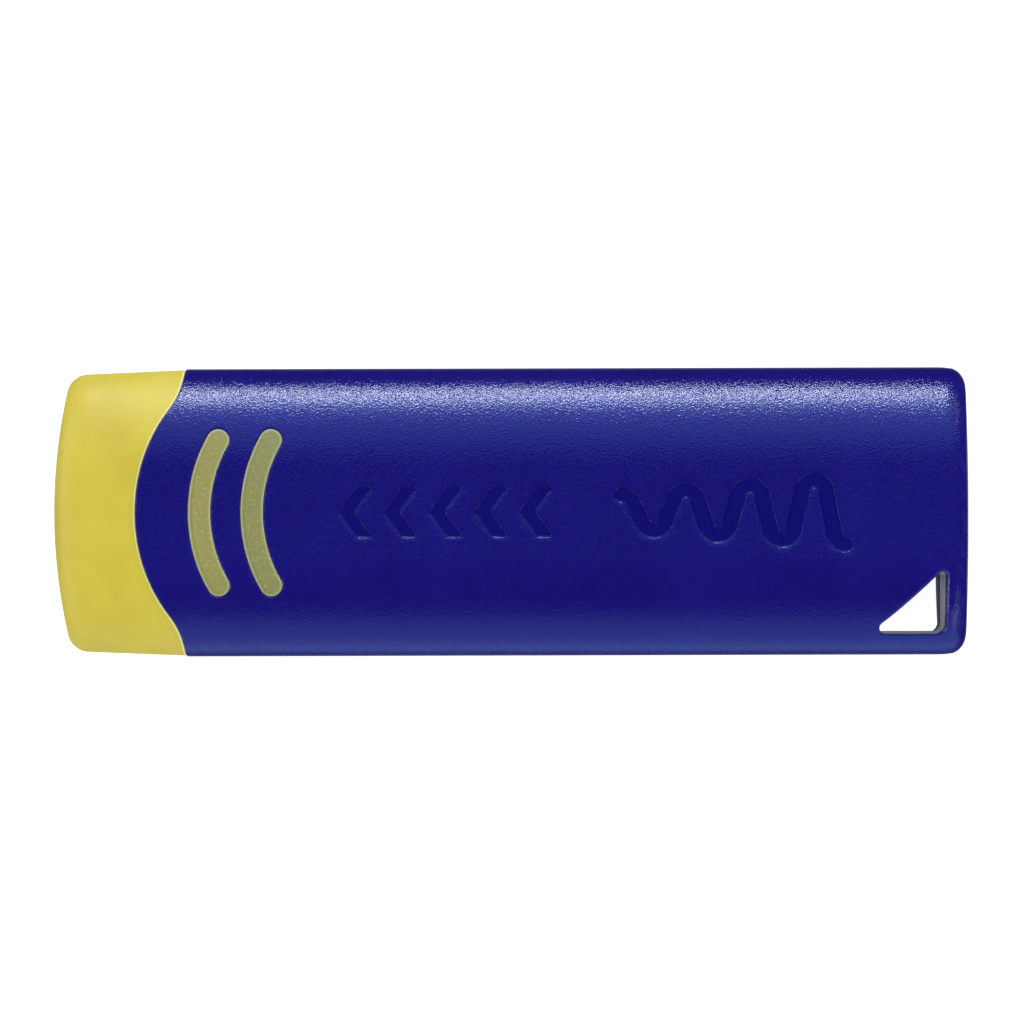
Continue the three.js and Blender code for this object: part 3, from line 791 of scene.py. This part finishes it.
# The front half of the rubber as one height field. Its depth under the case's skin is the taper on the
# tip, then a wall goes down to the neck along the seam, and up again to each pad.
def rubberHalf():
    half = MeshParts(("covered", "paintedEdgeGlow", "padShadow"))
    neck = rubber["neckDepth"]
    lean = rubber["wallLean"]
    wallSteps = [-lean, -lean - rubber["wallFoot"]]
    fillet = rubber["edge"] * skinShare
    sColumns = np.linspace(0, sectionLength, rubber["columns"])
    tipLine = np.stack([tipStart(sColumns) - fillet, sColumns], axis=1)
    endLine = np.stack([np.full(len(sColumns), neckEndX), sColumns], axis=1)
    seamLine = np.stack([seamAt(sColumns) - rubber["seamGap"], sColumns], axis=1)

    # along the two parting lines the rings of the seam end on the outline itself
    rounds = ringOffsets(rubber["seamRound"], rubber["ringCount"])
    glowSteps = rubber["glowIn"] + rubber["glowWide"] * np.array(rubber["glowRings"])
    seamSteps = np.concatenate([rounds, glowSteps, rubber["seamRings"], wallSteps])
    sideX = seamLine[0, 0]
    beforeSeam, tipCount = rubber["tipSide"]
    afterSeam, neckCount = rubber["neckSide"]
    sideUs = np.unique(np.concatenate([
        sideX - seamSteps,
        np.linspace(tipLine[0, 0], sideX - beforeSeam, tipCount)[1:],
        np.linspace(sideX + afterSeam, neckEndX, neckCount)[:-1],
    ]))
    lowLine = np.stack([sideUs, np.zeros(len(sideUs))], axis=1)
    highLine = np.stack([sideUs[::-1], np.full(len(sideUs), sectionLength)], axis=1)
    outline = np.concatenate([lowLine, endLine, highLine, tipLine[::-1]])

    finer = np.linspace(0, sectionLength, rubber["seamColumns"])
    seamFine = np.stack([seamAt(finer) - rubber["seamGap"], finer], axis=1)
    rings = [(seamFine - outwards(seamFine, closed=False) * step)[1:-1] for step in seamSteps]
    padLines = [planToSkin(bandOutline(x, rubber["padGap"])) for x in windowPlaces()]
    padLoops = [evenLoop(line, rubber["padStep"]) for line in padLines]
    padRounds = ringOffsets(rubber["padRound"], rubber["ringCount"])
    padSteps = np.concatenate([padRounds, rubber["padRings"], wallSteps])
    for loop in padLoops:
        rings.extend(ringBeside(loop, -step) for step in padSteps)

    inset = rubber["inset"]
    grid = gridPoints(tipX, neckEndX, inset, sectionLength - inset, rubber["grid"])
    grid = sieve(grid, outline, np.concatenate([outline, seamFine, *padLoops]), rubber["clearance"])
    points = np.concatenate([outline, *rings, grid])

    u, s = points.T
    seamX = seamAt(s) - rubber["seamGap"]
    seamAway = nearest(points, seamFine)
    onTip = u < seamX + hair
    depth = np.where(onTip, tipDepth(u) + roundOff(seamAway, rubber["seamRound"]), neck)
    # a pale line just in from the seam is painted on: a painted glow
    glow = np.where(onTip, np.exp(-(((seamAway - rubber["glowIn"]) / rubber["glowWide"]) ** 2)), 0)
    padShadow = np.zeros(len(points))
    for loop in padLoops:
        away = nearest(points, loop)
        onPad = inside(points, loop) | (away < hair)
        depth = np.where(onPad, rubber["padRecess"] + roundOff(away, rubber["padRound"]), depth)
        # the pads' rims are painted pale: a painted glow
        glow = np.where(onPad, rubber["padGlow"] * np.exp(-((away / rubber["padGlowWide"]) ** 2)), glow)
        # a dark line just inside each pad on its sides towards the tip and up: a painted shadow cast by the
        # window's rim
        toward = outwards(loop) @ rubber["padShadowSide"]
        side = toward[pickSquares(points, loop, np.argmin)].clip(0, 1)
        line = np.exp(-(((away - rubber["padShadowIn"]) / rubber["padShadowWide"]) ** 2))
        padShadow = np.where(onPad, side * line, padShadow)

    place = rubberSkin(u, s, depth)
    faces = fillRegion(points, [np.arange(len(outline))])
    ids = half.addPoints(place, np.stack([~onTip, glow, padShadow], axis=1))
    half.addFaces(ids[faces], flip=True)

    # round the tip's edge and down its end face to the middle plane
    tipDown = tipDepth(tipX + rubber["corner"])
    tipIds = ids[len(outline) - len(tipLine) : len(outline)][::-1]
    radius = edgeRadius(rubber, sectionAt(sColumns)[2])
    rows = [tipIds]
    for turn in np.linspace(0, 1, turnRows)[1:]:
        angle = fillet / radius + (np.pi / 2 - fillet / radius) * turn
        rows.append(half.addPoints(rubberSkin(tipStart(sColumns) - radius * angle, sColumns, tipDown)))
    rim = rubberSkin(tipStart(sColumns) - radius * np.pi / 2, sColumns, tipDown)
    for level in np.linspace(*rubber["tipLevels"]):
        row = np.stack([tipFace(rim[:, 1], rim[:, 2] * level), rim[:, 1], rim[:, 2] * level], axis=1)
        rows.append(half.addPoints(row))
    half.addRows(rows, flip=True)

    # the neck's flat end
    endIds = ids[len(lowLine) : len(lowLine) + len(sColumns)]
    endPlace = place[len(lowLine) : len(lowLine) + len(sColumns)]
    ends = [endIds]
    for level in rubber["neckLevels"]:
        ends.append(half.addPoints(endPlace * [1, 1, level], (1, 0, 0)))
    half.addRows(ends)
    return half


# A node tree being built: each call adds one node, sets its values and links its inputs.
class NodeTree:
    def __init__(self, name):
        self.material = bpy.data.materials.new(name)
        self.material.use_nodes = True
        self.tree = self.material.node_tree
        self.shader = self.tree.nodes["Principled BSDF"]
        self.place = self.add("ShaderNodeTexCoord").outputs["Object"]

    def add(self, kind, settings=None, values=None):
        node = self.tree.nodes.new(kind)
        for key, value in (settings or {}).items():
            setattr(node, key, value)
        for key, value in (values or {}).items():
            self.feed(node.inputs[key], value)
        return node

    def feed(self, socket, value):
        if isinstance(value, bpy.types.NodeSocket):
            self.tree.links.new(value, socket)
        else:
            socket.default_value = value

    # noise whose grains are about size millimetres across
    def noise(self, size, detail=2.0, rough=0.5):
        values = {"Vector": self.place, "Scale": 1 / (size * mm), "Detail": detail, "Roughness": rough}
        return self.add("ShaderNodeTexNoise", None, values).outputs["Fac"]

    # a value taken from one range to another and held there
    def ramp(self, value, low, high, start=0.0, end=1.0):
        values = {"Value": value, "From Min": low, "From Max": high, "To Min": start, "To Max": end}
        return self.add("ShaderNodeMapRange", {"clamp": True}, values).outputs["Result"]

    def times(self, a, b):
        return self.add("ShaderNodeMath", {"operation": "MULTIPLY"}, {0: a, 1: b}).outputs["Value"]

    def plus(self, a, b):
        return self.add("ShaderNodeMath", {"operation": "ADD"}, {0: a, 1: b}).outputs["Value"]

    # from one colour to another by a share
    def blend(self, share, first, second):
        node = self.add("ShaderNodeMix", {"data_type": "RGBA"})
        self.feed(node.inputs[0], share)
        for socket, colour in ((node.inputs[6], first), (node.inputs[7], second)):
            self.feed(socket, (*colour, 1) if isinstance(colour, tuple) else colour)
        return node.outputs[2]

    def finish(self, name):
        return self.add("ShaderNodeAttribute", {"attribute_name": name}).outputs["Fac"]

    def bump(self, height, depth):
        values = {"Height": height, "Distance": depth * mm, "Strength": 1.0}
        return self.add("ShaderNodeBump", None, values).outputs["Normal"]

    # the shader's inputs, as values or as links
    def paint(self, values):
        for key, value in values.items():
            self.feed(self.shader.inputs[key], value)
        return self.material


# The case's colours, sizes in millimetres and shares. A speckle or a patch of the rims' painted highlight
# is (from noise, to noise, share at the first, share at the second).
casePaint = {
    "blue": (0.0064, 0.0034, 0.19),
    "deepBlue": (0.005, 0.0024, 0.17),
    # painted shade on the floors of the sunk marks
    "shadedFloorBlue": (0.0015, 0.001, 0.16),
    # the paler blue of the grain's speckles and of the painted highlight on the rims
    "grainAndSheenBlue": (0.03, 0.03, 0.26),
    # the painted reflection on the lanyard hole's wall
    "reflectionPale": (0.42, 0.46, 0.66),
    "grainSize": 0.13,
    "pebbleSize": 0.3,
    "grainDepth": 0.047,
    "pebbleShare": 0.2,
    "floorGrain": 0.25,
    "mottleSize": 7.0,
    "speckle": (0.62, 0.8, 0, 0.35),
    "sheenPatchSize": 0.7,
    "sheenPatches": (0.42, 0.62, 0.05, 0.6),
    "floorShadeShare": 0.85,
    "roughness": (0.1, 0.22),
    "roughWall": 0.7,
    "specular": 0.4,
}


# Grained moulded plastic: noise gives the spark-eroded grain in bump and roughness, wide noise the slight
# mottling, and the finish values smooth the floors of the marks and paint them darker as painted shade,
# paint the rims paler as a painted highlight, and paint the lanyard hole's wall pale as a painted
# reflection.
def casePlastic():
    nodes = NodeTree("casePlastic")
    fine = nodes.noise(casePaint["grainSize"], 1.0)
    pebble = nodes.noise(casePaint["pebbleSize"], 1.0)
    mottle = nodes.noise(casePaint["mottleSize"])
    sunk, rimSheen, rough, paintedReflection = map(nodes.finish, ("sunk", "rimSheen", "rough", "paintedReflection"))
    base = nodes.blend(nodes.ramp(mottle, 0.35, 0.65), casePaint["deepBlue"], casePaint["blue"])
    grained = nodes.blend(nodes.ramp(fine, *casePaint["speckle"]), base, casePaint["grainAndSheenBlue"])
    # the floors of the sunk marks painted darker: painted shade
    floorShaded = nodes.blend(nodes.times(sunk, casePaint["floorShadeShare"]), grained, casePaint["shadedFloorBlue"])
    # the rims' painted highlight, in patches, which also makes them smoother
    sheenShare = nodes.times(rimSheen, nodes.ramp(nodes.noise(casePaint["sheenPatchSize"], 3.0), *casePaint["sheenPatches"]))
    rimSheened = nodes.blend(sheenShare, floorShaded, casePaint["grainAndSheenBlue"])
    low, high = casePaint["roughness"]
    satin = nodes.ramp(nodes.plus(fine, sheenShare), 0.36, 0.68, high, low)
    pebbleShare = casePaint["pebbleShare"]
    height = nodes.plus(nodes.times(fine, 1 - pebbleShare), nodes.times(pebble, pebbleShare))
    grain = nodes.times(height, nodes.ramp(sunk, 0.2, 0.9, 1, casePaint["floorGrain"]))
    return nodes.paint({
        # the lanyard hole's wall painted pale: a painted reflection
        "Base Color": nodes.blend(paintedReflection, rimSheened, casePaint["reflectionPale"]),
        "Roughness": nodes.ramp(rough, 0, 1, satin, casePaint["roughWall"]),
        "Normal": nodes.bump(grain, casePaint["grainDepth"]),
        "Specular IOR Level": casePaint["specular"],
    })


rubberPaint = {
    "yellow": (0.68, 0.575, 0.05),
    "deepYellow": (0.63, 0.515, 0.04),
    "olive": (0.33, 0.315, 0.085),
    "deepOlive": (0.27, 0.28, 0.09),
    # painted shadow along the pads' upper sides
    "padShadowOlive": (0.13, 0.12, 0.03),
    # painted glow along the tip's thin edge at the seam
    "edge": (1.0, 0.97, 0.45),
    # the pads' paler speckles and the painted glow along their rims
    "padSpeckleAndGlow": (0.72, 0.74, 0.46),
    "cloudSize": 4.0,
    "speckle": (0.55, 0.75, 0, 0.3),
    "padShadowShare": 0.9,
    "grainSize": 0.16,
    "grainDepth": 0.012,
    "roughness": (0.5, 0.64),
    "specular": 0.28,
    "scatter": 0.25,
    "scatterReach": (1.0, 0.8, 0.2),
    "scatterScale": 0.0006,
}


# Translucent rubber: scattered light under a satin skin. The pads are olive, because the core shows
# through, thin edges are painted paler as a painted glow, and each pad has a painted shadow, a fine dark
# line along its upper side towards the tip.
def yellowRubber():
    nodes = NodeTree("yellowRubber")
    cloud = nodes.noise(rubberPaint["cloudSize"], 3.0)
    fine = nodes.noise(rubberPaint["grainSize"], 2.0, 0.6)
    covered, glow, padShadow = nodes.finish("covered"), nodes.finish("paintedEdgeGlow"), nodes.finish("padShadow")
    clear = nodes.blend(nodes.ramp(cloud, 0.35, 0.65), rubberPaint["deepYellow"], rubberPaint["yellow"])
    along = nodes.add("ShaderNodeSeparateXYZ", None, {0: nodes.place}).outputs["X"]
    near, far = windowPlaces()[[0, -1]] * mm
    backed = nodes.blend(nodes.ramp(along, near, far), rubberPaint["olive"], rubberPaint["deepOlive"])
    backed = nodes.blend(nodes.ramp(fine, *rubberPaint["speckle"]), backed, rubberPaint["padSpeckleAndGlow"])
    body = nodes.blend(covered, clear, backed)
    # painted glow along the thin edges
    edge = nodes.blend(covered, rubberPaint["edge"], rubberPaint["padSpeckleAndGlow"])
    withPaintedGlow = nodes.blend(glow, body, edge)
    # the painted shadow along the pads' upper sides
    padShaded = nodes.times(padShadow, rubberPaint["padShadowShare"])
    return nodes.paint({
        "Base Color": nodes.blend(padShaded, withPaintedGlow, rubberPaint["padShadowOlive"]),
        "Roughness": nodes.ramp(fine, 0.3, 0.7, *rubberPaint["roughness"]),
        "Normal": nodes.bump(fine, rubberPaint["grainDepth"]),
        "Subsurface Weight": rubberPaint["scatter"],
        "Subsurface Radius": rubberPaint["scatterReach"],
        "Subsurface Scale": rubberPaint["scatterScale"],
        "Specular IOR Level": rubberPaint["specular"],
    })


corePaint = {
    "blue": (0.03, 0.05, 0.22),
    "paleBlue": (0.06, 0.09, 0.3),
    "flowSize": 1.6,
    "drawnOut": 5,
    "roughness": (0.4, 0.55),
    "grainSize": 0.3,
    "grainDepth": 0.01,
}


# Plain moulded plastic of the core: faint flow marks drawn out along the part.
def corePlastic():
    nodes = NodeTree("corePlastic")
    scale = (1 / corePaint["drawnOut"], 1, 1)
    stretch = nodes.add("ShaderNodeMapping", None, {"Vector": nodes.place, "Scale": scale})
    nodes.place = stretch.outputs["Vector"]
    flow = nodes.noise(corePaint["flowSize"], 3.0)
    return nodes.paint({
        "Base Color": nodes.blend(nodes.ramp(flow, 0.4, 0.7), corePaint["blue"], corePaint["paleBlue"]),
        "Roughness": nodes.ramp(flow, 0.3, 0.7, *corePaint["roughness"]),
        "Normal": nodes.bump(nodes.noise(corePaint["grainSize"]), corePaint["grainDepth"]),
    })


casing = casePlastic()
pieces = [
    (makePiece("frontCase", caseHalf(True), [1], casing), "front_shell", "case_plastic"),
    (makePiece("backCase", caseHalf(False), [-1], casing), "back_shell", "case_plastic"),
    (makePiece("rubber", rubberHalf(), [1, -1], yellowRubber()), "eraser", "rubber"),
]
for piece, node, slot in pieces:
    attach(piece, "root")
    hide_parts(node)
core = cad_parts["eraser_core"]
core.data.materials.clear()
core.data.materials.append(corePlastic())
print("painted the core")

# camera straight over the front face, with a hair of roll, and a pale floor under the eraser
view = {"above": 400.0, "wide": 71.28, "aside": 0.07, "sensor": 36.0, "roll": -0.155}


# The lens's length is the sensor's width, times the distance to the middle plane over the width seen there.
def placeCamera():
    data = bpy.data.cameras.new("camera")
    data.sensor_width = view["sensor"]
    data.lens = view["sensor"] * (view["above"] + halfThick) / view["wide"]
    data.clip_start, data.clip_end = 0.01, 20
    camera = putIn("camera", data)
    camera.location = np.array([view["aside"], 0, 2 * halfThick + view["above"]]) * mm
    camera.rotation_euler = (0, 0, math.radians(view["roll"]))
    bpy.context.scene.camera = camera
    print("placed the camera")


floor = {"half": 1500.0, "below": 0.05, "colour": (0.4, 0.4, 0.4), "roughness": 0.9, "glow": 0.9}


# The floor glows a little, so that no shadow is left on it, and the case doesn't mirror it. Seen from
# underneath it is clear, so the back face can be looked at.
def layFloor():
    half, z = floor["half"], -floor["below"]
    corners = np.array([(-half, -half, z), (half, -half, z), (half, half, z), (-half, half, z)])
    mesh = bpy.data.meshes.new("floor")
    mesh.from_pydata((corners * mm).tolist(), [], [(0, 1, 2, 3)])
    sheet = putIn("floor", mesh)
    nodes = NodeTree("paleFloor")
    mesh.materials.append(nodes.paint({
        "Base Color": (*floor["colour"], 1),
        "Roughness": floor["roughness"],
        "Emission Color": (1, 1, 1, 1),
        "Emission Strength": floor["glow"],
    }))
    fromUnder = nodes.add("ShaderNodeNewGeometry").outputs["Backfacing"]
    mix = nodes.add("ShaderNodeMixShader", None, {0: fromUnder})
    nodes.feed(mix.inputs[1], nodes.shader.outputs[0])
    nodes.feed(mix.inputs[2], nodes.add("ShaderNodeBsdfTransparent").outputs[0])
    nodes.feed(nodes.tree.nodes["Material Output"].inputs["Surface"], mix.outputs[0])
    sheet.visible_glossy = False
    sheet.visible_diffuse = False
    sheet.visible_shadow = False
    print("laid the floor")


# Soft boxes: each stands by its lean from overhead and its bearing, and fills so many degrees across and
# up. The key only lights, and the others are only mirrored.
cool, sky = (0.82, 0.88, 1), (0.3, 0.48, 1)
softBoxes = {
    "strip": {"lean": 83, "bearing": 90, "wide": 28, "tall": 10, "radiance": 32, "colour": cool},
    "fade": {"lean": 68, "bearing": 90, "wide": 40, "tall": 24, "radiance": 5, "colour": sky},
    "haze": {"lean": 38, "bearing": 90, "wide": 90, "tall": 40, "radiance": 1.5, "colour": sky},
    "low": {"lean": 102, "bearing": 270, "wide": 80, "tall": 78, "radiance": 1.2, "colour": sky},
    "left": {"lean": 86, "bearing": 180, "wide": 60, "tall": 12, "radiance": 8, "colour": cool},
    "key": {"lean": 62, "bearing": 90, "wide": 80, "tall": 27, "radiance": 1, "colour": (1, 1, 1)},
}
cornerBox = {**softBoxes["left"], "lean": 80, "wide": 36, "radiance": 3}
for corner in (45, 135, 225, 315):
    softBoxes[f"corner{corner}"] = {**cornerBox, "bearing": corner}

# how far away the boxes hang, and the room's light: on everything, in mirrorings, and in those of what lies
# straight down, between two heights of the view's direction
studio = {"far": 900.0, "soft": 0.95, "dark": 0.03, "below": 0.5, "downFrom": -0.99, "downTo": -0.95}


# A box's size is 2 far tan(half its angle), and its power is radiance times pi times its area.
def hangLights():
    for name, box in softBoxes.items():
        light = bpy.data.lights.new(name, "AREA")
        light.shape = "RECTANGLE"
        halves = np.radians([box["wide"], box["tall"]]) / 2
        light.size, light.size_y = 2 * studio["far"] * mm * np.tan(halves)
        light.energy = box["radiance"] * math.pi * light.size * light.size_y
        light.color = box["colour"]
        lamp = putIn(name, light)
        lean, bearing = math.radians(box["lean"]), math.radians(box["bearing"])
        level = math.sin(lean)
        away = Vector((level * math.cos(bearing), level * math.sin(bearing), math.cos(lean)))
        lamp.location = away * studio["far"] * mm
        lamp.rotation_euler = away.to_track_quat("Z", "Y").to_euler()
        lamp.visible_camera = False
        lamp.visible_diffuse = name == "key"
        lamp.visible_glossy = name != "key"
    print("hung", len(softBoxes), "soft boxes")


# The room: even soft light on everything, and dark to mirror, except straight down where the floor is.
def lightRoom():
    world = bpy.data.worlds.new("studio")
    world.use_nodes = True
    nodes, links = world.node_tree.nodes, world.node_tree.links
    soft = nodes["Background"]
    soft.inputs["Strength"].default_value = studio["soft"]
    soft.inputs["Color"].default_value = (1, 1, 1, 1)
    mirrored = nodes.new("ShaderNodeBackground")
    direction = nodes.new("ShaderNodeTexCoord")
    split = nodes.new("ShaderNodeSeparateXYZ")
    links.new(direction.outputs["Generated"], split.inputs[0])
    fall = nodes.new("ShaderNodeMapRange")
    fall.clamp = True
    links.new(split.outputs["Z"], fall.inputs["Value"])
    sockets = {"From Min": "downFrom", "From Max": "downTo", "To Min": "below", "To Max": "dark"}
    for socket, name in sockets.items():
        fall.inputs[socket].default_value = studio[name]
    links.new(fall.outputs["Result"], mirrored.inputs["Strength"])
    ray = nodes.new("ShaderNodeLightPath")
    mix = nodes.new("ShaderNodeMixShader")
    links.new(ray.outputs["Is Glossy Ray"], mix.inputs[0])
    links.new(soft.outputs[0], mix.inputs[1])
    links.new(mirrored.outputs[0], mix.inputs[2])
    links.new(mix.outputs[0], nodes["World Output"].inputs["Surface"])
    bpy.context.scene.world = world
    print("lit the room")


placeCamera()
layFloor()
hangLights()
lightRoom()
bpy.context.scene.view_settings.view_transform = "Standard"
